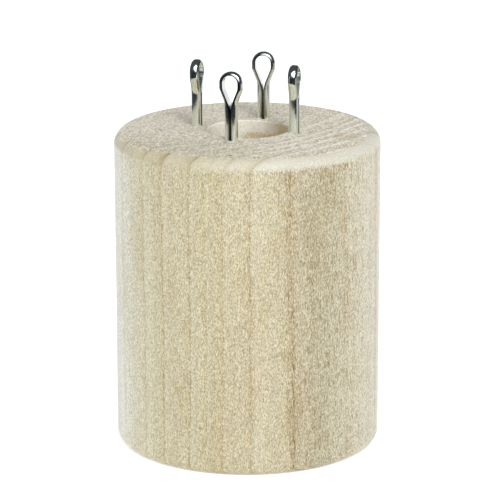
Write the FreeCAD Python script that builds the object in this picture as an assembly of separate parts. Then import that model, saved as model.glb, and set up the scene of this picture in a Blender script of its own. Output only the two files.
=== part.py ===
import FreeCAD, Part
import math
import os

from FreeCAD import Vector

os.makedirs("parts", exist_ok=True)

# Lengths are in millimetres and angles in degrees.
# The origin is the middle of the block's underside, +Z runs up the bore, and the front pin stands towards -Y.

# The turned block
block_diameter = 63.5
block_height = 76.2
top_rim_round = 3.2
foot_rim_round = 2.0
bore_diameter = 19.05
bore_lip_round = 0.5

# The wire that each pin is bent from: oval wire with its inner side rolled flat; its width is across the bend
wire_thickness = 1.7
wire_width = 2.24
leg_thickness = 1.35
eye_side_thickness = 0.95
eye_crown_thickness = 0.8

# The bent pin
leg_gap = 0.3
eye_width = 5.66
eye_straight_side = 0.8
taper_angle = 22.0
neck_bend_radius = 5.35
opening_bend_radius = 4.0
pin_length = 38.4
short_leg_shortfall = 1.5

# Where the pins go in, and how each was set by hand: how far it stands out, how far its hole was drilled off its mark
# towards +X and +Y, and its turn, counted from its eye facing straight out from the bore
pin_wall = 2.6
pin_names = ["front", "right", "back", "left"]
pin_standing_heights = {"front": 16.1, "right": 16.4, "back": 16.4, "left": 15.95}
pin_drifts = {"front": (0.0, 0.5), "right": (-0.4, -0.2), "back": (0.0, 0.1), "left": (-0.65, 0.25)}
pin_turns = {"front": 0.0, "right": 5.0, "back": 9.0, "left": 2.0}
hole_side_clearance = 0.05
hole_end_clearance = 1.6
drill_point_angle = 118.0

# Sizes that follow from the ones above
block_radius = block_diameter / 2
bore_radius = bore_diameter / 2
half_thickness = wire_thickness / 2
half_width = wire_width / 2
eye_outer_radius = eye_width / 2
pin_circle_radius = bore_radius + pin_wall
leg_centre = leg_gap / 2 + leg_thickness - half_thickness


def leg_reach():
    """How far the two legs together reach from the pin's axis, on the oval's end or its shoulder."""
    rounder = half_width ** 2 - half_thickness ** 2
    if rounder <= leg_centre * half_thickness:
        return leg_centre + half_thickness
    shoulder = leg_centre * half_thickness / rounder
    out = leg_centre + half_thickness * shoulder
    return math.hypot(out, half_width * math.sqrt(1 - shoulder ** 2))


pin_hole_radius = leg_reach() + hole_side_clearance


def arc(centre, radius, from_angle, to_angle):
    """An arc in the XZ plane; the angles are turned from +X towards +Z."""
    points = []
    for angle in (from_angle, (from_angle + to_angle) / 2, to_angle):
        turn = math.radians(angle)
        points.append(centre + Vector(radius * math.cos(turn), 0, radius * math.sin(turn)))
    return Part.Arc(*points).toShape()


def line(start, end):
    return Part.makeLine(start, end)


def place_in_block(shape, name):
    """Turns a shape made on the block's axis to its pin's quarter of the circle, and on to where the drill went."""
    shape.translate(Vector(0, -pin_circle_radius, 0))
    shape.rotate(Vector(0, 0, 0), Vector(0, 0, 1), 90 * pin_names.index(name))
    shape.translate(Vector(*pin_drifts[name], 0))
    return shape


def bent_line(leg_x, foot_height, bend_radius, eye_radius, crown_height, eye_centre_height):
    """One side of a pin from its foot to the crown: leg, neck bend, taper, lower eye, straight side, crown.

    The neck bend lies as far below the eye as the taper needs to touch both."""
    turn = math.radians(taper_angle)
    outward = Vector(math.cos(turn), 0, -math.sin(turn))
    lower_centre = Vector(0, 0, eye_centre_height - eye_straight_side)
    crown_centre = Vector(0, 0, crown_height - eye_radius)
    bend_x = leg_x + bend_radius
    neck_drop = (eye_radius + bend_radius - bend_x * math.cos(turn)) / math.sin(turn)
    bend_centre = lower_centre + Vector(bend_x, 0, -neck_drop)
    neck_start = bend_centre - Vector(bend_radius, 0, 0)
    taper_start = bend_centre - outward * bend_radius
    taper_end = lower_centre + outward * eye_radius
    side_start = lower_centre + Vector(eye_radius, 0, 0)
    side_end = crown_centre + Vector(eye_radius, 0, 0)
    return [
        line(Vector(leg_x, 0, foot_height), neck_start),
        arc(bend_centre, bend_radius, 180, 180 - taper_angle),
        line(taper_start, taper_end),
        arc(lower_centre, eye_radius, -taper_angle, 0),
        line(side_start, side_end),
        arc(crown_centre, eye_radius, 0, 90),
    ]


def turned_block():
    """A block turned on a lathe: rounded rims, a bore right through with eased lips, and four blind pin holes."""
    top_round_centre = Vector(block_radius - top_rim_round, 0, block_height - top_rim_round)
    foot_round_centre = Vector(block_radius - foot_rim_round, 0, foot_rim_round)
    top_lip_centre = Vector(bore_radius + bore_lip_round, 0, block_height - bore_lip_round)
    foot_lip_centre = Vector(bore_radius + bore_lip_round, 0, bore_lip_round)
    up = Vector(0, 0, 1)
    out = Vector(1, 0, 0)
    outline = Part.Wire([
        line(foot_lip_centre - out * bore_lip_round, top_lip_centre - out * bore_lip_round),
        arc(top_lip_centre, bore_lip_round, 180, 90),
        line(top_lip_centre + up * bore_lip_round, top_round_centre + up * top_rim_round),
        arc(top_round_centre, top_rim_round, 90, 0),
        line(top_round_centre + out * top_rim_round, foot_round_centre + out * foot_rim_round),
        arc(foot_round_centre, foot_rim_round, 0, -90),
        line(foot_round_centre - up * foot_rim_round, foot_lip_centre - up * bore_lip_round),
        arc(foot_lip_centre, bore_lip_round, 270, 180),
    ])
    block = Part.Face(outline).revolve(Vector(0, 0, 0), up, 360)
    for name in pin_names:
        block = block.cut(pin_hole(name))
    return block


def pin_hole(name):
    """A pin's blind hole, as deep as its long leg needs, with the cone that a twist drill leaves at its end."""
    pin_hole_depth = pin_length - pin_standing_heights[name] + hole_end_clearance
    mouth = Vector(0, 0, block_height)
    end = mouth - Vector(0, 0, pin_hole_depth)
    point_depth = pin_hole_radius / math.tan(math.radians(drill_point_angle / 2))
    straight = Part.makeCylinder(pin_hole_radius, pin_hole_depth, mouth, Vector(0, 0, -1))
    point = Part.makeCone(pin_hole_radius, 0, point_depth, end, Vector(0, 0, -1))
    return place_in_block(straight.fuse(point).removeSplitter(), name)


def pin_half(foot_height, pin_top):
    """The half of a pin on +X, on the block's axis: oval wire along its bent line, less the flat inner side."""
    eye_centre_height = pin_top - eye_outer_radius
    centre_line = Part.Wire(bent_line(
        leg_centre, foot_height, neck_bend_radius, eye_outer_radius - half_thickness,
        pin_top - half_thickness, eye_centre_height
    ))
    middle = Vector(leg_centre, 0, foot_height)
    section = Part.Ellipse(middle + Vector(0, half_width, 0), middle + Vector(half_thickness, 0, 0), middle)
    wire = centre_line.makePipeShell([Part.Wire(section.toShape())], True, True)

    inner_height = pin_top - eye_crown_thickness
    below_foot = foot_height - wire_thickness
    beyond = Vector(-eye_width, 0, 0)
    inner_side = bent_line(
        leg_gap / 2, below_foot, opening_bend_radius,
        eye_outer_radius - eye_side_thickness, inner_height, eye_centre_height
    )
    foot = Vector(leg_gap / 2, 0, below_foot)
    crown = Vector(0, 0, inner_height)
    inner_side.append(line(crown, crown + beyond))
    inner_side.append(line(crown + beyond, foot + beyond))
    inner_side.append(line(foot + beyond, foot))
    opening = Part.Face(Part.Wire(inner_side)).extrude(Vector(0, 2 * wire_width, 0))
    opening.translate(Vector(0, -wire_width, 0))
    return wire.cut(opening)


def loop_pin(name):
    """A split pin: one length of wire bent double, its two legs closed together below the eye."""
    pin_top = block_height + pin_standing_heights[name]
    long_foot = pin_top - pin_length
    long_half = pin_half(long_foot, pin_top)
    short_half = pin_half(long_foot + short_leg_shortfall, pin_top).mirror(Vector(0, 0, 0), Vector(1, 0, 0))
    pin = long_half.fuse(short_half).removeSplitter()
    pin.rotate(Vector(0, 0, 0), Vector(0, 0, 1), pin_turns[name])
    return place_in_block(pin, name)


pieces = {"turned_block": turned_block()}
for pin_name in pin_names:
    pieces["loop_pin_" + pin_name] = loop_pin(pin_name)

for piece_name, piece in pieces.items():
    solids = piece.Solids
    print(piece_name, "solids", len(solids), "valid", piece.isValid(), "volume", round(piece.Volume, 3))
    piece.exportStep("parts/" + piece_name + ".step")
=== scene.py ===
import math

import bpy
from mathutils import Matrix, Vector, noise


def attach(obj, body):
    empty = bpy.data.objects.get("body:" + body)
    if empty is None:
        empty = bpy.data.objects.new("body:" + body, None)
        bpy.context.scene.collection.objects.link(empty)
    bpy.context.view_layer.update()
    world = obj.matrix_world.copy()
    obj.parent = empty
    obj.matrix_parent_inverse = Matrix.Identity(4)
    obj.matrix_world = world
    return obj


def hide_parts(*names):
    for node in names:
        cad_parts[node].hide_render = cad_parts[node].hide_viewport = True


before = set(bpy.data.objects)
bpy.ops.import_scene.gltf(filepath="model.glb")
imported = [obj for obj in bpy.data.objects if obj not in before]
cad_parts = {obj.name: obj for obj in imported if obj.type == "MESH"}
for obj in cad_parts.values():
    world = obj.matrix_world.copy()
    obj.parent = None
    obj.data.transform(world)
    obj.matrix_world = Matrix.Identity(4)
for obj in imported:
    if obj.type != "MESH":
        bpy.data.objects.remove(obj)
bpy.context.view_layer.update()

# The camera: a long lens a good half metre away, a little above the block and to its right,
# aimed just over the block's middle and held a tenth of a degree out of level.
mm = 0.001
camera_azimuth = math.radians(18.81)
camera_elevation = math.radians(16.414)
camera_distance = 660.45 * mm
camera_roll = math.radians(-0.112)
lens_length = 196.9
sensor_width = 36
block_middle = Vector((0, 0, 38.1 * mm))
aim_up = 7.82 * mm
aim_right = 0.56 * mm

to_camera = Vector((
    math.sin(camera_azimuth) * math.cos(camera_elevation),
    -math.cos(camera_azimuth) * math.cos(camera_elevation),
    math.sin(camera_elevation),
))
camera_right = Vector((math.cos(camera_azimuth), math.sin(camera_azimuth), 0))
camera_up = to_camera.cross(camera_right)
aim_point = block_middle + aim_up * camera_up + aim_right * camera_right

bpy.ops.object.select_all(action="DESELECT")
bpy.ops.object.camera_add(location=block_middle + camera_distance * to_camera)
camera = bpy.context.object
camera.data.sensor_width = sensor_width
camera.data.lens = lens_length
camera.data.clip_start = 0.01
camera.data.clip_end = 20
camera.rotation_mode = "QUATERNION"
camera.rotation_quaternion = (aim_point - camera.location).to_track_quat("-Z", "Y")
bpy.context.view_layer.update()
bpy.ops.object.select_all(action="DESELECT")
camera.select_set(True)
camera.rotation_mode = "XYZ"
camera.rotation_euler.rotate_axis("Z", camera_roll)
bpy.context.scene.camera = camera


# The body: one solid round of pale hardwood, turned, sanded and left bare, with a hole drilled
# up the middle for the cord and four small blind holes in its top end that hold the pins.
block_radius = 31.75 * mm
block_height = 76.2 * mm
top_rim_round = 3.2 * mm
foot_rim_round = 2.0 * mm
bore_radius = 9.525 * mm
bore_lip_round = 0.5 * mm
steps_around = 480

# where the tree's heart lay, from the block's axis, how far each growth ring is from it in mm,
# how dark each ring's late wood is, and the slow waves that run up and across the rings
heart = Vector((-70 * mm, 33 * mm, 0))
ring_radii = [46.0, 53.5, 62.0, 71.4, 76.5, 80.9, 86.7, 92.7, 95.7, 98.6, 102.6, 106.8, 109.2]
ring_depths = [0.5, 0.5, 0.4, 0.4, 0.2, 0.75, 1.0, 0.75, 0.4, 0.6, 0.95, 1.0, 0.5]
long_wave, long_wave_up, long_wave_back = 0.10, 0.062, 0.11
short_wave, short_wave_across, short_wave_up, short_wave_start = 0.12, 0.19, -0.04, 1.0


def ring_distance(place):
    """Distance from the tree's heart in mm, with the slow waves that a trunk's rings have."""
    x, y, z = place / mm
    away = math.hypot(x - heart.x / mm, y - heart.y / mm)
    away += long_wave * math.sin(long_wave_up * z + long_wave_back * y)
    return away + short_wave * math.sin(short_wave_across * x + short_wave_up * z + short_wave_start)


def select_near(piece, test):
    """Selects the vertices whose place passes the test; called and left in edit mode."""
    bpy.ops.mesh.select_mode(type="VERT")
    bpy.ops.mesh.select_all(action="DESELECT")
    bpy.ops.object.mode_set(mode="OBJECT")
    for vertex in piece.data.vertices:
        vertex.select = test(vertex.co)
    bpy.ops.object.mode_set(mode="EDIT")


def run_profile(step_x, step_z, steps):
    """Draws a straight run of the turned outline, in equal steps."""
    for _ in range(steps):
        bpy.ops.mesh.extrude_region_move(
            TRANSFORM_OT_translate={"value": (step_x / steps, 0, step_z / steps)}
        )


def round_profile(centre_x, centre_z, degrees, steps):
    """Draws a rounded corner of the turned outline."""
    bpy.ops.mesh.spin(
        steps=steps,
        angle=math.radians(degrees),
        center=(centre_x, 0, centre_z),
        axis=(0, 1, 0),
    )


bpy.ops.object.select_all(action="DESELECT")
bpy.ops.mesh.primitive_plane_add(size=2 * mm, location=(bore_radius + bore_lip_round + mm, mm, 0))
turned_block = bpy.context.object
turned_block.name = "turned_block_wood"
bpy.ops.object.transform_apply(location=True, rotation=True, scale=True)
bpy.ops.object.mode_set(mode="EDIT")
start = Vector((bore_radius + bore_lip_round, 0, 0))
select_near(turned_block, lambda place: (place - start).length > 0.1 * mm)
bpy.ops.mesh.delete(type="VERT")
bpy.ops.mesh.select_all(action="SELECT")
flat_foot = block_radius - foot_rim_round - start.x
flat_top = block_radius - top_rim_round - start.x
run_profile(flat_foot, 0, 12)
round_profile(block_radius - foot_rim_round, foot_rim_round, 90, 8)
run_profile(0, block_height - top_rim_round - foot_rim_round, 36)
round_profile(block_radius - top_rim_round, block_height - top_rim_round, 90, 14)
run_profile(-flat_top, 0, 22)
round_profile(start.x, block_height - bore_lip_round, 90, 5)
run_profile(0, 2 * bore_lip_round - block_height, 24)
round_profile(start.x, bore_lip_round, 90, 5)
bpy.ops.mesh.select_all(action="SELECT")
bpy.ops.mesh.remove_doubles(threshold=0.001 * mm)
bpy.ops.object.mode_set(mode="OBJECT")
lathe = turned_block.modifiers.new("lathe", "SCREW")
lathe.axis = "Z"
lathe.angle = 2 * math.pi
lathe.steps = steps_around
lathe.render_steps = steps_around
lathe.use_merge_vertices = True
lathe.merge_threshold = 0.002 * mm
bpy.ops.object.modifier_apply(modifier="lathe")
bpy.ops.object.mode_set(mode="EDIT")
bpy.ops.mesh.select_all(action="SELECT")
bpy.ops.mesh.normals_make_consistent(inside=False)
bpy.ops.object.mode_set(mode="OBJECT")

# how deep the drill, the sanding and the shrinking of the wood went; places on the rings are in
# mm, as ring_distance gives them
bore_roughness = 0.02 * mm
sanding_wear = 0.03 * mm
rim_crease_depth = 0.20 * mm
ring_crease_depth = 0.022 * mm
crease_half_width = 0.42
faint_crease_from, faint_crease_part = 104, 0.2


def smooth_step(low, high, value):
    """Rises smoothly from nothing at the low value to one at the high value."""
    part = min(max((value - low) / (high - low), 0), 1)
    return part * part * (3 - 2 * part)


def hand_sanded(place):
    """How far sanding and shrinking took the surface in at a place, in metres."""
    outwards = math.hypot(place.x, place.y)
    if outwards < bore_radius + 1.2 * mm:
        return bore_roughness * (0.5 + 0.5 * noise.noise(place / mm * 0.9))
    ring = ring_distance(place)
    worn = sanding_wear * (0.5 + 0.5 * noise.noise(place / mm * 0.12))
    on_rim = smooth_step(28.9 * mm, 30.4 * mm, outwards) * smooth_step(71.5 * mm, 74.6 * mm, place.z)
    for edge in ring_radii:
        past = ring - edge
        if -2.0 < past < 0.5:
            crease = math.exp(-((past / crease_half_width) ** 2))
            if edge > faint_crease_from:
                crease *= faint_crease_part
            worn += on_rim * rim_crease_depth * crease + ring_crease_depth * crease
    return worn


for vertex in turned_block.data.vertices:
    outwards = Vector((vertex.co.x, vertex.co.y, 0)).normalized()
    radius = math.hypot(vertex.co.x, vertex.co.y)
    depth = hand_sanded(vertex.co)
    if radius < bore_radius + bore_lip_round * 0.9:
        vertex.co += outwards * depth
    elif radius > block_radius - top_rim_round:
        centre_z = min(max(vertex.co.z, foot_rim_round), block_height - top_rim_round)
        centre = outwards * (block_radius - top_rim_round) + Vector((0, 0, centre_z))
        vertex.co += (centre - vertex.co).normalized() * depth

# The pin holes: drilled straight into the end grain, so their mouths are a little torn, and
# closed up by the wood to an oval on the pins' narrow sides.
pin_hole_radius = 1.55 * mm
pin_hole_depth = 24.0 * mm
drill_point_depth = 0.9 * mm
drill_point_radius = 0.05 * mm
hole_squeeze = 0.2
torn_depth = 0.3 * mm
hole_steps = 40
pin_places = {
    "front": Vector((0, -11.625, 0)) * mm,
    "right": Vector((11.725, -0.2, 0)) * mm,
    "back": Vector((0, 12.225, 0)) * mm,
    "left": Vector((-12.775, 0.25, 0)) * mm,
}
cutters = []
pin_turns = {"front": 0.0, "right": 5.0, "back": 9.0, "left": 2.0}
for turn, (name, middle) in enumerate(pin_places.items()):
    facing = math.radians(90 * turn + pin_turns[name])
    bpy.ops.object.select_all(action="DESELECT")
    bpy.ops.mesh.primitive_circle_add(
        vertices=hole_steps,
        radius=drill_point_radius,
        fill_type="NGON",
        location=middle + Vector((0, 0, block_height - pin_hole_depth - drill_point_depth)),
    )
    cutter = bpy.context.object
    bpy.ops.object.transform_apply(location=True, rotation=True, scale=True)
    bpy.ops.object.mode_set(mode="EDIT")
    bpy.ops.mesh.select_all(action="SELECT")
    for rise, growth in (
        (drill_point_depth, pin_hole_radius / drill_point_radius),
        (pin_hole_depth - 0.3 * mm, 1.0),
        (0.2 * mm, 1.02),
        (0.1 * mm, 1.04),
        (0.5 * mm, 1.1),
    ):
        bpy.ops.mesh.extrude_region_move(TRANSFORM_OT_translate={"value": (0, 0, rise)})
        bpy.ops.transform.resize(value=(growth, growth, 1), center_override=middle)
    bpy.ops.mesh.select_all(action="SELECT")
    bpy.ops.mesh.normals_make_consistent(inside=False)
    bpy.ops.object.mode_set(mode="OBJECT")
    for vertex in cutter.data.vertices:
        if vertex.co.z > block_height - 0.2 * mm:
            away = Vector((vertex.co.x - middle.x, vertex.co.y - middle.y, 0))
            torn = 0.1 + 1.4 * noise.noise(vertex.co / mm * 1.4 + Vector((0, 0, 7.0 * turn)))
            vertex.co += away.normalized() * max(torn, 0) * torn_depth
        across = Vector((-math.sin(facing), math.cos(facing), 0))
        off = (vertex.co - middle).dot(across)
        vertex.co -= across * off * hole_squeeze
    cutters.append(cutter)

bpy.ops.object.select_all(action="DESELECT")
for cutter in cutters:
    cutter.select_set(True)
bpy.context.view_layer.objects.active = cutters[0]
bpy.ops.object.join()
drills = bpy.context.object
bpy.ops.object.select_all(action="DESELECT")
turned_block.select_set(True)
bpy.context.view_layer.objects.active = turned_block
cut = turned_block.modifiers.new("pin_holes", "BOOLEAN")
cut.operation = "DIFFERENCE"
cut.solver = "EXACT"
cut.object = drills
bpy.ops.object.modifier_apply(modifier="pin_holes")
bpy.data.objects.remove(drills)

bpy.ops.object.select_all(action="DESELECT")
turned_block.select_set(True)
bpy.context.view_layer.objects.active = turned_block
bpy.ops.object.shade_smooth_by_angle(angle=math.radians(35))


def add_node(tree, kind, inputs=None, output=0, **settings):
    """Adds a node to a material, sets or links its inputs, and gives back one of its outputs."""
    made = tree.nodes.new(kind)
    for name, value in settings.items():
        setattr(made, name, value)
    for name, value in (inputs or {}).items():
        if isinstance(value, bpy.types.NodeSocket):
            tree.links.new(value, made.inputs[name])
        else:
            made.inputs[name].default_value = value
    return made.outputs[output] if len(made.outputs) else None


def math_node(tree, operation, first, second=0.0, third=0.0, clamp=False):
    return add_node(
        tree, "ShaderNodeMath", {0: first, 1: second, 2: third}, operation=operation, use_clamp=clamp
    )


def range_node(tree, value, low, high, to_low=0.0, to_high=1.0, smooth=True):
    return add_node(
        tree,
        "ShaderNodeMapRange",
        {"Value": value, "From Min": low, "From Max": high, "To Min": to_low, "To Max": to_high},
        interpolation_type="SMOOTHSTEP" if smooth else "LINEAR",
    )


def mix_colours(tree, part, first, second, blend="MIX"):
    return add_node(
        tree,
        "ShaderNodeMix",
        {0: part, 6: first, 7: second},
        output=2,
        data_type="RGBA",
        blend_type=blend,
    )


def ramp_node(tree, value, stops, interpolation="LINEAR"):
    """A colour ramp; each stop is a place from 0 to 1 and a grey value or a colour."""
    made = tree.nodes.new("ShaderNodeValToRGB")
    ramp = made.color_ramp
    ramp.interpolation = interpolation
    while len(ramp.elements) > 1:
        ramp.elements.remove(ramp.elements[-1])
    for index, (place, shade) in enumerate(stops):
        element = ramp.elements[0] if index == 0 else ramp.elements.new(place)
        element.position = place
        element.color = (shade, shade, shade, 1) if isinstance(shade, float) else (*shade, 1)
    tree.links.new(value, made.inputs["Fac"])
    return made.outputs["Color"]


def stretched_noise(tree, place, stretch, scale, detail=3.0, roughness=0.6, distortion=0.0):
    """Noise that is drawn out along the trunk, as wood fibres are."""
    along = add_node(
        tree, "ShaderNodeVectorMath", {0: place, 1: (1, 1, stretch)}, operation="MULTIPLY"
    )
    return add_node(
        tree,
        "ShaderNodeTexNoise",
        {
            "Vector": along,
            "Scale": scale,
            "Detail": detail,
            "Roughness": roughness,
            "Distortion": distortion,
        },
    )


wood = bpy.data.materials.new("bare_pale_hardwood")
wood.use_nodes = True
grain = wood.node_tree
grain.nodes.clear()
place = add_node(
    grain,
    "ShaderNodeVectorMath",
    {0: add_node(grain, "ShaderNodeTexCoord", output=3), "Scale": 1000.0},
    operation="SCALE",
)
split = grain.nodes.new("ShaderNodeSeparateXYZ")
grain.links.new(place, split.inputs[0])
across, inwards, upwards = split.outputs

# distance from the tree's heart, the same sum as ring_distance
from_heart = add_node(
    grain,
    "ShaderNodeVectorMath",
    {
        0: add_node(
            grain,
            "ShaderNodeVectorMath",
            {0: place, 1: (heart.x / mm, heart.y / mm, 0)},
            operation="SUBTRACT",
        ),
        1: (1, 1, 0),
    },
    operation="MULTIPLY",
)
straight = add_node(grain, "ShaderNodeVectorMath", {0: from_heart}, output=1, operation="LENGTH")
back_part = math_node(grain, "MULTIPLY", inwards, long_wave_back)
first_wave = math_node(
    grain, "SINE", math_node(grain, "MULTIPLY_ADD", upwards, long_wave_up, back_part)
)
up_part = math_node(grain, "MULTIPLY_ADD", upwards, short_wave_up, short_wave_start)
second_wave = math_node(
    grain, "SINE", math_node(grain, "MULTIPLY_ADD", across, short_wave_across, up_part)
)
ring = math_node(grain, "MULTIPLY_ADD", first_wave, long_wave, straight)
ring = math_node(grain, "MULTIPLY_ADD", second_wave, short_wave, ring)

# the fibres break up each ring's line by a quarter of a millimetre either way
raggedness = 0.5
ragged = stretched_noise(grain, place, 0.06, 0.9, detail=3.0)
ring = math_node(
    grain,
    "MULTIPLY_ADD",
    ragged,
    raggedness,
    math_node(grain, "SUBTRACT", ring, raggedness / 2),
)

# along each ring, late rises from the pale early wood to the dark line at its outer edge, and
# arch bows up between two lines
first_ring, last_ring = 40.0, 112.0
early_wood_from, late_wood_to = 0.25, 0.1
last_arch_from = 102.6


def ring_stop(radius):
    """Where a distance from the tree's heart lies along the ramps."""
    return (radius - first_ring) / (last_ring - first_ring)


ring_part = range_node(grain, ring, first_ring, last_ring, smooth=False)
late_stops = [(0.0, 0.0)]
arch_stops = [(0.0, 0.5)]
depth_stops = [(0.0, 0.3)]
for inner, outer, depth in zip(ring_radii, ring_radii[1:], ring_depths[1:]):
    late_stops.append((ring_stop(inner + early_wood_from), 0.0))
    late_stops.append((ring_stop(outer - late_wood_to), 1.0))
    if inner < last_arch_from:
        arch_stops.append((ring_stop(inner), 0.0))
        arch_stops.append((ring_stop((inner + outer) / 2), 1.0))
    depth_stops.append((ring_stop(inner + early_wood_from), depth))
arch_stops.append((ring_stop(last_arch_from), 0.0))
arch_stops.append((ring_stop(last_arch_from + 1.4), 0.8))
late = ramp_node(grain, ring_part, late_stops)
arch = ramp_node(grain, ring_part, arch_stops, interpolation="EASE")
ring_depth = ramp_node(grain, ring_part, depth_stops, interpolation="CONSTANT")
early = math_node(grain, "SUBTRACT", 1.0, late)
dark_line = math_node(grain, "MULTIPLY", math_node(grain, "POWER", late, 14.0), ring_depth)
soft_line = math_node(grain, "MULTIPLY", math_node(grain, "POWER", late, 2.5), ring_depth)
pale_strip = math_node(grain, "POWER", early, 7.0)
pale_band = math_node(grain, "POWER", early, 3.5)


def stain_with(colour, part, stain):
    """Multiplies a colour by a stain, in part."""
    return mix_colours(grain, part, colour, (*stain, 1), "MULTIPLY")


def paint_with(colour, part, paint):
    """Covers a colour with another one, in part."""
    return mix_colours(grain, part, colour, (*paint, 1))


def shade_with(colour, tone):
    """Makes a colour lighter or darker all over by a tone that varies from place to place."""
    shade = add_node(grain, "ShaderNodeCombineColor", {0: tone, 1: tone, 2: tone})
    return mix_colours(grain, 1.0, colour, shade, "MULTIPLY")


def ring_colours(stops):
    """A colour for each distance from the tree's heart."""
    return ramp_node(grain, ring_part, [(ring_stop(radius), colour) for radius, colour in stops])


# the broad colours of the side, from the heart outwards; the pale rings at 65 to 74 mm, at the front
# left, are partly the wood's own colour and partly painted sheen of a grazing edge, and the band
# painted paler on the block's right side is painted sheen
zone_colours = [
    (46.0, (0.58, 0.54, 0.40)),
    (57.0, (0.62, 0.585, 0.45)),
    (65.0, (0.76, 0.76, 0.68)),
    (69.0, (0.78, 0.78, 0.70)),
    (74.0, (0.68, 0.67, 0.56)),
    (80.0, (0.62, 0.59, 0.45)),
    (84.0, (0.55, 0.51, 0.36)),
    (88.0, (0.52, 0.47, 0.32)),
    (92.0, (0.54, 0.50, 0.35)),
    (97.0, (0.47, 0.42, 0.27)),
    (102.0, (0.50, 0.45, 0.31)),
    (106.0, (0.47, 0.43, 0.30)),
    (107.2, (0.41, 0.36, 0.24)),
    (109.5, (0.43, 0.41, 0.30)),
]
pale_side_facing = math.radians(20)
towards_pale_side = math_node(
    grain,
    "MULTIPLY_ADD",
    inwards,
    math.sin(pale_side_facing),
    math_node(grain, "MULTIPLY", across, math.cos(pale_side_facing)),
)
pale_side_part = range_node(grain, towards_pale_side, 17.5, 23.5)
# painted sheen: the block's right side is painted paler, standing in for light at a grazing edge
zone = paint_with(ring_colours(zone_colours), pale_side_part, (0.54, 0.515, 0.41))

# side grain: fine grit, short brown vessels, broken ring lines and broad faint streaks
grit = stretched_noise(grain, place, 0.45, 4.2, detail=2.0, roughness=0.7)
specks = stretched_noise(grain, place, 0.4, 3.8, detail=1.0, roughness=0.5)
dashes = stretched_noise(grain, place, 0.13, 2.5, detail=2.0, roughness=0.6)
streaks = stretched_noise(grain, place, 0.012, 0.5, detail=4.0, roughness=0.65)
blotches = stretched_noise(grain, place, 0.3, 0.13, detail=3.0, roughness=0.6)
brown_zone = range_node(grain, ring, 104.8, 107.0)
dark_speck = range_node(grain, specks, 0.52, 0.66)
pale_speck = range_node(grain, specks, 0.42, 0.30)
dark_dash = range_node(grain, dashes, 0.53, 0.64)
grit_tone = range_node(grain, grit, 0.36, 0.64, 0.66, 1.34, smooth=False)
streak_tone = range_node(grain, streaks, 0.3, 0.7, 0.93, 1.07, smooth=False)
speck_part = math_node(
    grain, "MULTIPLY", dark_speck, range_node(grain, brown_zone, 0.0, 1.0, 0.55, 0.95)
)
dash_part = range_node(grain, brown_zone, 0.0, 1.0, 0.25, 0.6)
dash_part = math_node(grain, "MULTIPLY_ADD", dark_line, 0.6, dash_part)
dash_part = math_node(grain, "MULTIPLY", dark_dash, dash_part)
blotch_part = range_node(grain, blotches, 0.48, 0.68, 0.0, 0.6)
side_colour = shade_with(zone, math_node(grain, "MULTIPLY", grit_tone, streak_tone))
for stained_part, stain in (
    (speck_part, (0.72, 0.63, 0.47)),
    (dash_part, (0.60, 0.50, 0.34)),
    (math_node(grain, "MULTIPLY", dark_line, 0.55), (0.62, 0.52, 0.36)),
    (math_node(grain, "MULTIPLY", soft_line, 0.4), (0.86, 0.80, 0.68)),
    (blotch_part, (0.90, 0.84, 0.72)),
):
    side_colour = stain_with(side_colour, stained_part, stain)
for pale_part, pale in (
    (math_node(grain, "MULTIPLY", pale_strip, 0.22), (0.68, 0.65, 0.54)),
    (math_node(grain, "MULTIPLY", pale_speck, 0.42), (0.76, 0.73, 0.60)),
):
    side_colour = paint_with(side_colour, pale_part, pale)

# end grain: greyer and whiter, gritty, sanded from front to back, crossed by pale ring lines,
# with a brown mark at the right and a few pin-prick holes
open_pore, closed_pore = (0.32, 0.27, 0.18, 1), (0.82, 0.77, 0.62, 1)
sanded = add_node(
    grain, "ShaderNodeVectorMath", {0: place, 1: (1, 0.3, 1)}, operation="MULTIPLY"
)
pores = add_node(
    grain, "ShaderNodeTexNoise", {"Vector": sanded, "Scale": 3.3, "Detail": 2.0, "Roughness": 0.7}
)
rays = add_node(
    grain, "ShaderNodeTexNoise", {"Vector": place, "Scale": 0.5, "Detail": 5.0, "Roughness": 0.75}
)
end_tone = range_node(grain, rays, 0.35, 0.65, 0.90, 1.08, smooth=False)
end_colour = mix_colours(
    grain, range_node(grain, pores, 0.38, 0.62, smooth=False), open_pore, closed_pore
)
# painted shade: the top is darkened towards its front
end_colour = stain_with(end_colour, range_node(grain, inwards, -10.0, -25.0), (0.91, 0.90, 0.86))
# painted light: the top is painted paler over the rings nearer the heart, on its left
painted_left_light = range_node(grain, ring, 80.0, 56.0, 0.0, 0.2)
end_colour = paint_with(end_colour, painted_left_light, (0.80, 0.77, 0.67))
end_colour = shade_with(end_colour, end_tone)

# pale lines: one in each ring's early wood, and fine ones between them, broken here and there
fine_line_spacing = 2.674
fine_turn = math_node(grain, "MULTIPLY", ring, 2 * math.pi / fine_line_spacing)
fine_rings = math_node(grain, "SINE", math_node(grain, "MULTIPLY_ADD", ragged, 2.2, fine_turn))
fine_line = math_node(
    grain,
    "MULTIPLY",
    range_node(grain, fine_rings, 0.80, 1.0),
    range_node(grain, ring, 74.0, 92.0, 0.1, 0.35),
)
pale_ring = math_node(
    grain, "MULTIPLY", pale_band, range_node(grain, ring, 74.0, 96.0, 0.35, 1.0)
)
pale_line = math_node(grain, "MAXIMUM", fine_line, pale_ring)
for breaking in (
    range_node(grain, rays, 0.38, 0.56, 0.35, 1.0),
    range_node(grain, across, 4.0, 15.0, 0.35, 1.0),
):
    pale_line = math_node(grain, "MULTIPLY", pale_line, breaking)
end_colour = paint_with(end_colour, pale_line, (0.92, 0.89, 0.81))
end_colour = stain_with(
    end_colour, math_node(grain, "MULTIPLY", dark_line, 0.5), (0.80, 0.72, 0.58)
)


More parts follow.
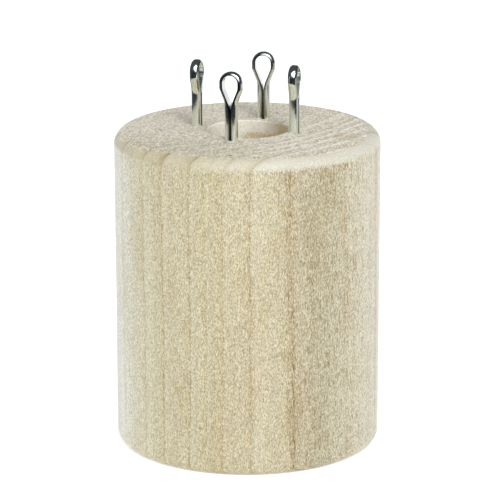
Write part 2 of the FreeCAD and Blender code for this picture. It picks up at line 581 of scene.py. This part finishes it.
def near_any(places, near, far):
    """One close to any of the places on the top, and nothing away from them."""
    nearest = None
    for x, y in places:
        away = add_node(
            grain,
            "ShaderNodeVectorMath",
            {0: place, 1: (x, y, block_height / mm)},
            output=1,
            operation="DISTANCE",
        )
        nearest = away if nearest is None else math_node(grain, "MINIMUM", nearest, away)
    return range_node(grain, nearest, far, near)


brown_mark = (25.2, -0.8)
brown_part = math_node(grain, "MULTIPLY", near_any([brown_mark], 2.0, 5.5), 0.7)
end_colour = stain_with(end_colour, brown_part, (0.86, 0.79, 0.66))
chipped = near_any([(spot.x / mm, spot.y / mm) for spot in pin_places.values()], 1.8, 2.5)
chipped = math_node(grain, "MULTIPLY", chipped, range_node(grain, rays, 0.42, 0.56))
end_colour = paint_with(end_colour, math_node(grain, "MULTIPLY", chipped, 0.6), (0.80, 0.76, 0.64))
# the pin-prick holes are painted near black: partly dirt and partly painted shade inside holes that
# the mesh does not cut; the bump sinks them
prick_places = [(4.9, -26.7), (9.0, -12.7), (4.5, -20.2), (1.5, 18.1), (-19.0, -8.0)]
pricks = near_any(prick_places, 0.3, 0.6)
end_colour = paint_with(end_colour, math_node(grain, "MULTIPLY", pricks, 0.85), (0.06, 0.04, 0.03))

# where end grain turns to side grain on the rim, each ring shows as a petal with a brown crease; the
# brown is partly the late wood's colour and partly painted shade in the crease
flat = add_node(
    grain, "ShaderNodeVectorMath", {0: place, 1: (1, 1, 0)}, operation="MULTIPLY"
)
from_axis = add_node(grain, "ShaderNodeVectorMath", {0: flat}, output=1, operation="LENGTH")
left_rings = range_node(grain, ring, 98.0, 90.0)
petal_reach = 0.5
edge = range_node(grain, ring, 78.0, 86.5, 30.4, 29.4)
edge = math_node(grain, "MULTIPLY_ADD", arch, petal_reach, edge)
edge = math_node(grain, "SUBTRACT", edge, range_node(grain, inwards, -8.0, 10.0, 0.0, 1.2))
end_part = range_node(grain, math_node(grain, "SUBTRACT", from_axis, edge), 0.25, -0.25)
outside_bore = range_node(grain, from_axis, 9.6, 9.9)
end_part = math_node(grain, "MULTIPLY", end_part, outside_bore)
on_rim = math_node(
    grain,
    "MULTIPLY",
    range_node(grain, math_node(grain, "MULTIPLY_ADD", grit, 2.4, upwards), 74.1, 75.3),
    range_node(grain, from_axis, 27.0, 28.0),
)
rim_colours = [
    (46.0, (0.56, 0.51, 0.37)),
    (57.0, (0.50, 0.445, 0.31)),
    (63.0, (0.44, 0.38, 0.255)),
    (72.0, (0.50, 0.45, 0.31)),
    (84.0, (0.53, 0.48, 0.34)),
    (94.0, (0.55, 0.51, 0.38)),
    (101.0, (0.56, 0.53, 0.43)),
    (105.0, (0.58, 0.56, 0.48)),
]
rim_pale = shade_with(
    ring_colours(rim_colours), range_node(grain, grit, 0.36, 0.64, 0.86, 1.13, smooth=False)
)
soft_part = range_node(grain, ring, 104.6, 102.8, 0.05, 0.5)
soft_part = math_node(grain, "MULTIPLY", soft_line, soft_part)
rim_pale = stain_with(rim_pale, soft_part, (0.80, 0.70, 0.54))

# the creases' painted brown is darkest on the left, and fades down the rim and in the outermost rings
crease_stain_and_shade = math_node(grain, "MULTIPLY", math_node(grain, "POWER", late, 8.0), ring_depth)
for fading in (
    range_node(grain, left_rings, 0.0, 1.0, 0.4, 1.0),
    range_node(grain, ring, 104.6, 103.6),
    range_node(grain, upwards, 73.4, 75.6, 0.45, 1.0),
):
    crease_stain_and_shade = math_node(grain, "MULTIPLY", crease_stain_and_shade, fading)
rim_pale = stain_with(rim_pale, crease_stain_and_shade, (0.40, 0.29, 0.18))
rim_part = range_node(grain, left_rings, 0.0, 1.0, 0.85, 0.75)
rim_colour = mix_colours(grain, rim_part, side_colour, rim_pale)
wood_colour = mix_colours(grain, on_rim, side_colour, rim_colour)
wood_colour = mix_colours(grain, end_part, wood_colour, end_colour)

# the bore's wall: painted light and shade, pale on its left and brown on its right, with orange-brown
# specks that are partly torn grain and partly painted shade, thicker deeper down and on its right
in_bore = range_node(grain, from_axis, 9.75, 9.6)
below_mouth = range_node(grain, upwards, 73.7, 72.3)
drilled = add_node(
    grain, "ShaderNodeTexNoise", {"Vector": place, "Scale": 2.2, "Detail": 2.0, "Roughness": 0.7}
)
right_wall = range_node(grain, across, 0.0, 9.0)
deep_wall = math_node(grain, "MULTIPLY", below_mouth, range_node(grain, across, -7.0, -1.0))
torn_and_shaded = math_node(grain, "MULTIPLY", deep_wall, 0.17)
torn_and_shaded = math_node(grain, "MULTIPLY_ADD", right_wall, 0.15, torn_and_shaded)
torn_grain_and_shade = range_node(grain, math_node(grain, "ADD", drilled, torn_and_shaded), 0.52, 0.68)
lit_wall_paint, shaded_wall_paint = (0.97, 0.95, 0.87, 1), (0.70, 0.60, 0.38, 1)
bore_colour = mix_colours(grain, right_wall, lit_wall_paint, shaded_wall_paint)
bore_colour = shade_with(bore_colour, range_node(grain, drilled, 0.3, 0.7, 0.80, 1.12))
bore_colour = paint_with(
    bore_colour, math_node(grain, "MULTIPLY", torn_grain_and_shade, 0.8), (0.58, 0.43, 0.19)
)
wood_colour = mix_colours(grain, in_bore, wood_colour, bore_colour)

# fine relief: the grit stands out, and the vessels, ring lines and pricks are sunk
height = math_node(grain, "MULTIPLY", dark_line, -0.5)
height = math_node(grain, "MULTIPLY_ADD", dark_dash, -0.4, height)
height = math_node(grain, "MULTIPLY_ADD", grit, 0.8, height)
height = math_node(
    grain, "MULTIPLY_ADD", math_node(grain, "MULTIPLY", pricks, end_part), -3.0, height
)
grain_relief = 0.06 * mm
bump = add_node(
    grain, "ShaderNodeBump", {"Strength": 0.6, "Distance": grain_relief, "Height": height}
)
surface = add_node(
    grain,
    "ShaderNodeBsdfPrincipled",
    {
        "Base Color": wood_colour,
        "Roughness": range_node(grain, grit, 0.3, 0.7, 0.5, 0.7, smooth=False),
        "Sheen Weight": 0.45,
        "Sheen Roughness": 0.35,
        "Sheen Tint": (0.95, 0.98, 1.0, 1),
        "Normal": bump,
    },
)
add_node(grain, "ShaderNodeOutputMaterial", {"Surface": surface})

turned_block.data.materials.clear()
turned_block.data.materials.append(wood)
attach(turned_block, "root")
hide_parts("turned_block")


# The pins: split pins bent from flattened steel wire, bright zinc plated, each driven into its
# hole until only its neck and its eye stand out. One is modelled and copied to the four holes.
wire_thickness = 1.7 * mm
wire_width = 2.24 * mm
leg_gap = 0.3 * mm
leg_thickness = 1.35 * mm
eye_width = 5.66 * mm
eye_side_thickness = 0.95 * mm
eye_crown_thickness = 0.8 * mm
eye_straight_side = 0.8 * mm
taper_angle = math.radians(22)
neck_bend_radius = 5.35 * mm
opening_bend_radius = 8.0 * mm
split_half = 0.05 * mm
rolled_corner = 0.08 * mm
pin_standing_height = 16.0 * mm
long_leg_in_wood = 22.4 * mm
short_leg_shortfall = 1.5 * mm
pin_lifts = {"front": 0.2, "right": 0.2, "back": 0.3, "left": -0.08}
leg_steps, neck_steps, taper_steps, lower_eye_steps, side_steps, crown_steps = 40, 10, 8, 7, 3, 26

pin_top = block_height + pin_standing_height
eye_centre_height = pin_top - eye_width / 2
wire_radius = wire_thickness / 2
leg_line = leg_gap / 2 + leg_thickness - wire_radius
eye_line = eye_width / 2 - wire_radius


def neck_and_eye(leg_x, bend_radius, eye_radius, crown_height):
    """The turning points of one half of a pin, as the wire was bent round its former."""
    lower = Vector((0, 0, eye_centre_height - eye_straight_side))
    crown = Vector((0, 0, crown_height - eye_radius))
    bend_x = leg_x + bend_radius
    drop = (eye_radius + bend_radius - bend_x * math.cos(taper_angle)) / math.sin(taper_angle)
    return lower, crown, lower + Vector((bend_x, 0, -drop))


def opening_distance(x, z):
    """How far a point is on the metal's side of the flat inner face, and which way out is."""
    inner_leg = split_half
    inner_eye = eye_width / 2 - eye_side_thickness
    lower, crown, bend = neck_and_eye(
        inner_leg, opening_bend_radius, inner_eye, pin_top - eye_crown_thickness
    )
    if z >= crown.z:
        away = Vector((x, z - crown.z))
        return away.length - inner_eye, away.normalized()
    if z >= lower.z:
        return x - inner_eye, Vector((1, 0))
    out = Vector((math.cos(taper_angle), -math.sin(taper_angle)))
    along = Vector((-math.sin(taper_angle), -math.cos(taper_angle)))
    from_lower = Vector((x, z - lower.z))
    if from_lower.dot(along) <= 0:
        return from_lower.length - inner_eye, from_lower.normalized()
    if z <= bend.z:
        return x - inner_leg, Vector((1, 0))
    from_bend = Vector((x - bend.x, z - bend.z))
    if from_bend.dot(along) >= 0:
        return opening_bend_radius - from_bend.length, -from_bend.normalized()
    return from_lower.dot(out) - inner_eye, out


bpy.ops.object.select_all(action="DESELECT")
foot_height = block_height - long_leg_in_wood
bpy.ops.mesh.primitive_circle_add(
    vertices=36, radius=wire_radius, fill_type="NGON", location=(leg_line, 0, foot_height)
)
pin_model = bpy.context.object
bpy.ops.object.transform_apply(location=True, rotation=True, scale=True)
bpy.ops.object.mode_set(mode="EDIT")
wire_flat = (wire_width - wire_thickness) / 2
for side in (-1, 1):
    select_near(pin_model, lambda place: side * place.y > 0.01 * mm)
    bpy.ops.transform.translate(value=(0, side * wire_flat, 0))
bpy.ops.mesh.select_all(action="SELECT")
lower, crown, bend = neck_and_eye(leg_line, neck_bend_radius, eye_line, pin_top - wire_radius)
leg_rise = bend.z - foot_height
for _ in range(leg_steps):
    bpy.ops.mesh.extrude_region_move(
        TRANSFORM_OT_translate={"value": (0, 0, leg_rise / leg_steps)}
    )
bpy.ops.mesh.spin(steps=neck_steps, angle=taper_angle, center=bend, axis=(0, -1, 0))
taper_start = bend + neck_bend_radius * Vector((-math.cos(taper_angle), 0, math.sin(taper_angle)))
taper_end = lower + eye_line * Vector((math.cos(taper_angle), 0, -math.sin(taper_angle)))
for _ in range(taper_steps):
    bpy.ops.mesh.extrude_region_move(
        TRANSFORM_OT_translate={"value": (taper_end - taper_start) / taper_steps}
    )
bpy.ops.mesh.spin(steps=lower_eye_steps, angle=taper_angle, center=lower, axis=(0, 1, 0))
for _ in range(side_steps):
    bpy.ops.mesh.extrude_region_move(
        TRANSFORM_OT_translate={"value": (0, 0, (crown.z - lower.z) / side_steps)}
    )
bpy.ops.mesh.spin(steps=crown_steps, angle=math.pi / 2, center=crown, axis=(0, 1, 0))
bpy.ops.mesh.delete(type="ONLY_FACE")
bpy.ops.object.mode_set(mode="OBJECT")

# the inner side is rolled flat, with a small round where it meets the wire's own round
for vertex in pin_model.data.vertices:
    distance, out = opening_distance(vertex.co.x, vertex.co.z)
    kept = distance
    if distance < 40 * rolled_corner:
        kept = rolled_corner * math.log1p(math.exp(distance / rolled_corner))
    vertex.co.x += (kept - distance) * out.x
    vertex.co.z += (kept - distance) * out.y
    if abs(vertex.co.x) < 0.02 * mm and vertex.co.z > crown.z:
        vertex.co.x = 0

mirror = pin_model.modifiers.new("other_half", "MIRROR")
mirror.use_axis = (True, False, False)
mirror.use_clip = True
mirror.merge_threshold = 0.01 * mm
bpy.ops.object.modifier_apply(modifier="other_half")
for vertex in pin_model.data.vertices:
    if vertex.co.x < 0 and vertex.co.z < block_height:
        part = (block_height - vertex.co.z) / long_leg_in_wood
        vertex.co.z += short_leg_shortfall * part
bpy.ops.object.mode_set(mode="EDIT")
bpy.ops.mesh.select_all(action="SELECT")
bpy.ops.mesh.remove_doubles(threshold=0.002 * mm)
bpy.ops.mesh.normals_make_consistent(inside=False)
bpy.ops.object.mode_set(mode="OBJECT")
bpy.ops.object.shade_smooth_by_angle(angle=math.radians(50))

# painted shade: the metal is painted dark in the split between the legs and along the rolled inner
# edges
edge_shade_strength = 0.8
painted_shade = pin_model.data.attributes.new("painted_shade", "FLOAT", "POINT")
for index, vertex in enumerate(pin_model.data.vertices):
    in_split = 1 - smooth_step(0.26 * mm, 0.42 * mm, abs(vertex.co.x))
    in_split *= 1 - smooth_step(bend.z, bend.z + 0.8 * mm, vertex.co.z)
    distance, out = opening_distance(abs(vertex.co.x), vertex.co.z)
    rolled_edge = smooth_step(0.45 * mm, 0.75 * mm, abs(vertex.co.y))
    rolled_edge *= smooth_step(0.01 * mm, 0.06 * mm, distance)
    rolled_edge *= 1 - smooth_step(0.25 * mm, 0.65 * mm, distance)
    painted_shade.data[index].value = max(in_split, edge_shade_strength * rolled_edge)

steel = bpy.data.materials.new("bright_zinc_plate")
steel.use_nodes = True
plate = steel.node_tree
plate.nodes.clear()
steel_place = add_node(
    plate,
    "ShaderNodeVectorMath",
    {0: add_node(plate, "ShaderNodeTexCoord", output=3), "Scale": 1000.0},
    operation="SCALE",
)
drawn = stretched_noise(plate, steel_place, 0.15, 5.0, detail=4.0, roughness=0.6)
pitted = add_node(
    plate, "ShaderNodeTexNoise", {"Vector": steel_place, "Scale": 2.2, "Detail": 4.0, "Roughness": 0.6}
)
stain = range_node(plate, pitted, 0.58, 0.72)
steel_colour = mix_colours(plate, stain, (0.82, 0.87, 0.83, 1), (0.55, 0.58, 0.54, 1))
painted_metal_shade = add_node(plate, "ShaderNodeAttribute", output=2, attribute_name="painted_shade")
# painted shade: the metal is darkened to near black in the split and along the rolled inner edges
steel_colour = mix_colours(plate, painted_metal_shade, steel_colour, (0.10, 0.105, 0.10, 1))
scratch_relief = 0.012 * mm
steel_bump = add_node(
    plate,
    "ShaderNodeBump",
    {
        "Strength": 0.5,
        "Distance": scratch_relief,
        "Height": math_node(plate, "MULTIPLY_ADD", pitted, -1.0, drawn),
    },
)
steel_surface = add_node(
    plate,
    "ShaderNodeBsdfPrincipled",
    {
        "Base Color": steel_colour,
        "Metallic": 1.0,
        "Roughness": range_node(plate, drawn, 0.3, 0.7, 0.10, 0.20, smooth=False),
        "Normal": steel_bump,
    },
)
add_node(plate, "ShaderNodeOutputMaterial", {"Surface": steel_surface})

pin_model.data.materials.clear()
pin_model.data.materials.append(steel)
for turn, name in enumerate(pin_places):
    pin = pin_model.copy()
    pin.data = pin_model.data.copy()
    pin.name = "split_pin_" + name
    bpy.context.collection.objects.link(pin)
    angle = math.radians(90 * turn)
    pin.location = pin_places[name] + Vector((0, 0, pin_lifts[name] * mm))
    pin.rotation_euler = (0, 0, angle + math.radians(pin_turns[name]))
    bpy.ops.object.select_all(action="DESELECT")
    pin.select_set(True)
    bpy.context.view_layer.objects.active = pin
    bpy.ops.object.transform_apply(location=True, rotation=True, scale=True)
    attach(pin, "root")
    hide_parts("loop_pin_" + name)
bpy.data.objects.remove(pin_model)


# The studio: a plain white table that runs on as the background, plain white light all round,
# and one soft lamp. The polished pins also mirror a room: a round soft box, bright table to the
# right and behind, a faint floor at the left, and dark between them.
table_size = 4
glow_from, glow_to, table_glow = 24 * mm, 34 * mm, 0.5
bpy.ops.object.select_all(action="DESELECT")
bpy.ops.mesh.primitive_plane_add(size=table_size, location=(0, 0, 0))
table = bpy.context.object
table.name = "white_table"
white = bpy.data.materials.new("white_table_top")
white.use_nodes = True
table_shader = white.node_tree.nodes["Principled BSDF"]
table_shader.inputs["Base Color"].default_value = (0.9, 0.9, 0.9, 1)
table_shader.inputs["Roughness"].default_value = 0.9
table_shader.inputs["Emission Color"].default_value = (1, 1, 1, 1)
table_place = add_node(white.node_tree, "ShaderNodeTexCoord", output=3)
table_reach = add_node(
    white.node_tree, "ShaderNodeVectorMath", {0: table_place}, output=1, operation="LENGTH"
)
glow = range_node(white.node_tree, table_reach, glow_from, glow_to, 0.0, table_glow)
white.node_tree.links.new(glow, table_shader.inputs["Emission Strength"])
table.data.materials.append(white)
table.visible_glossy = False

room = bpy.data.worlds.new("studio_room")
bpy.context.scene.world = room
room.use_nodes = True
air = room.node_tree
air.nodes.clear()

# the direction looked in, in degrees: round from the front towards the right, and up
looking = add_node(air, "ShaderNodeTexCoord", output=0)
room_split = air.nodes.new("ShaderNodeSeparateXYZ")
air.links.new(looking, room_split.inputs[0])
to_right, to_back, to_top = room_split.outputs
to_front = math_node(air, "MULTIPLY", to_back, -1.0)
turned = math_node(
    air, "MULTIPLY", math_node(air, "ARCTAN2", to_right, to_front), math.degrees(1)
)
lifted = math_node(air, "MULTIPLY", math_node(air, "ARCSINE", to_top), math.degrees(1))


def between(low_start, low_end, high_start, high_end, value):
    """One inside the two limits and nothing outside them, with soft edges."""
    return math_node(
        air,
        "MULTIPLY",
        range_node(air, value, low_start, low_end),
        range_node(air, value, high_end, high_start),
    )


box_azimuth = math.radians(24)
box_elevation = math.radians(37)
box_half_angle = math.radians(31)
box_soft_edge = math.radians(2)
box_brightness = 2.5
right_table_brightness = 0.5
left_floor_brightness = 0.09
dark_below, dark_above = 0.025, 0.065
plain_light = 0.66
box_direction = (
    math.sin(box_azimuth) * math.cos(box_elevation),
    -math.cos(box_azimuth) * math.cos(box_elevation),
    math.sin(box_elevation),
)
straight_there = add_node(air, "ShaderNodeVectorMath", {0: looking}, operation="NORMALIZE")
towards_box = add_node(
    air,
    "ShaderNodeVectorMath",
    {0: straight_there, 1: box_direction},
    output=1,
    operation="DOT_PRODUCT",
)
soft_box_face = range_node(
    air,
    towards_box,
    math.cos(box_half_angle + box_soft_edge),
    math.cos(box_half_angle - box_soft_edge),
)
right_table = math_node(
    air, "MULTIPLY", between(70, 88, 200, 210, turned), between(-95, -92, -10, -3, lifted)
)
behind_right = math_node(
    air, "MULTIPLY", range_node(air, turned, 135, 155), range_node(air, lifted, 14, 2)
)
behind_left = math_node(
    air, "MULTIPLY", range_node(air, turned, -118, -135), range_node(air, lifted, 14, 2)
)
left_floor = math_node(
    air, "MULTIPLY", between(-150, -130, -60, -40, turned), range_node(air, lifted, -4, -10)
)
dark_room = range_node(air, lifted, -4, 8, dark_below, dark_above)
mirror_light = math_node(air, "MULTIPLY_ADD", left_floor, left_floor_brightness, dark_room)
for bright in (
    behind_right,
    behind_left,
    math_node(air, "MULTIPLY", right_table, right_table_brightness),
    math_node(air, "MULTIPLY", soft_box_face, box_brightness),
):
    mirror_light = math_node(air, "MAXIMUM", mirror_light, bright)
paths = air.nodes.new("ShaderNodeLightPath")
mirrored = paths.outputs["Is Glossy Ray"]
strength = add_node(
    air,
    "ShaderNodeMix",
    {0: mirrored, 2: plain_light, 3: mirror_light},
    output=0,
    data_type="FLOAT",
)

# what is dark in the mirrored room is a little blue
blue_part = math_node(air, "MULTIPLY", mirrored, range_node(air, mirror_light, 0.35, 0.12))
room_colour = mix_colours(air, blue_part, (1, 1, 1, 1), (0.86, 0.97, 1.14, 1))
background = add_node(
    air, "ShaderNodeBackground", {"Color": room_colour, "Strength": strength}
)
add_node(air, "ShaderNodeOutputWorld", {"Surface": background})

lamp_at = Vector((0.44, -0.52, 0.78))
lamp_aim = Vector((0, 0, 0.05))
bpy.ops.object.light_add(type="AREA", location=lamp_at)
lamp = bpy.context.object
lamp.name = "soft_box"
lamp.data.shape = "DISK"
lamp.data.size = 0.40
lamp.data.energy = 6.0
lamp.rotation_euler = (lamp_aim - lamp_at).to_track_quat("-Z", "Y").to_euler()

bpy.context.scene.view_settings.view_transform = "Standard"
